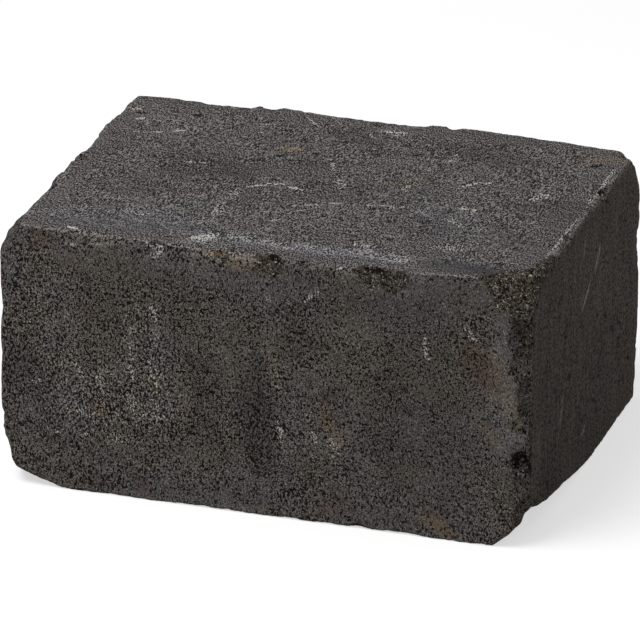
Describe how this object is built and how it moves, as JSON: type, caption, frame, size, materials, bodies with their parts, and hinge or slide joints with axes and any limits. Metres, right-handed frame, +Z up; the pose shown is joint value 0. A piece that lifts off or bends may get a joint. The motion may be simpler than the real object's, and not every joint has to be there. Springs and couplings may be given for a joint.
{
  "type": "garden wall block",
  "caption": "Solid tumbled concrete block with knocked corners and chipped arrises, laid in courses to build garden walls, edgings and steps.",
  "frame": {"origin": "middle of the bed, the face that the block lies on", "axes": "+X along the wall face, +Y from the wall face to the back, +Z up out of the upper bed"},
  "size_m": [0.28, 0.21, 0.14],
  "materials": {
    "concrete": "matte, dark graphite through-coloured concrete, open and pitted on the wall face, smoother on the bed and end faces"
  },
  "bodies": {
    "root": {"wall_block": "concrete"}
  },
  "joints": []
}
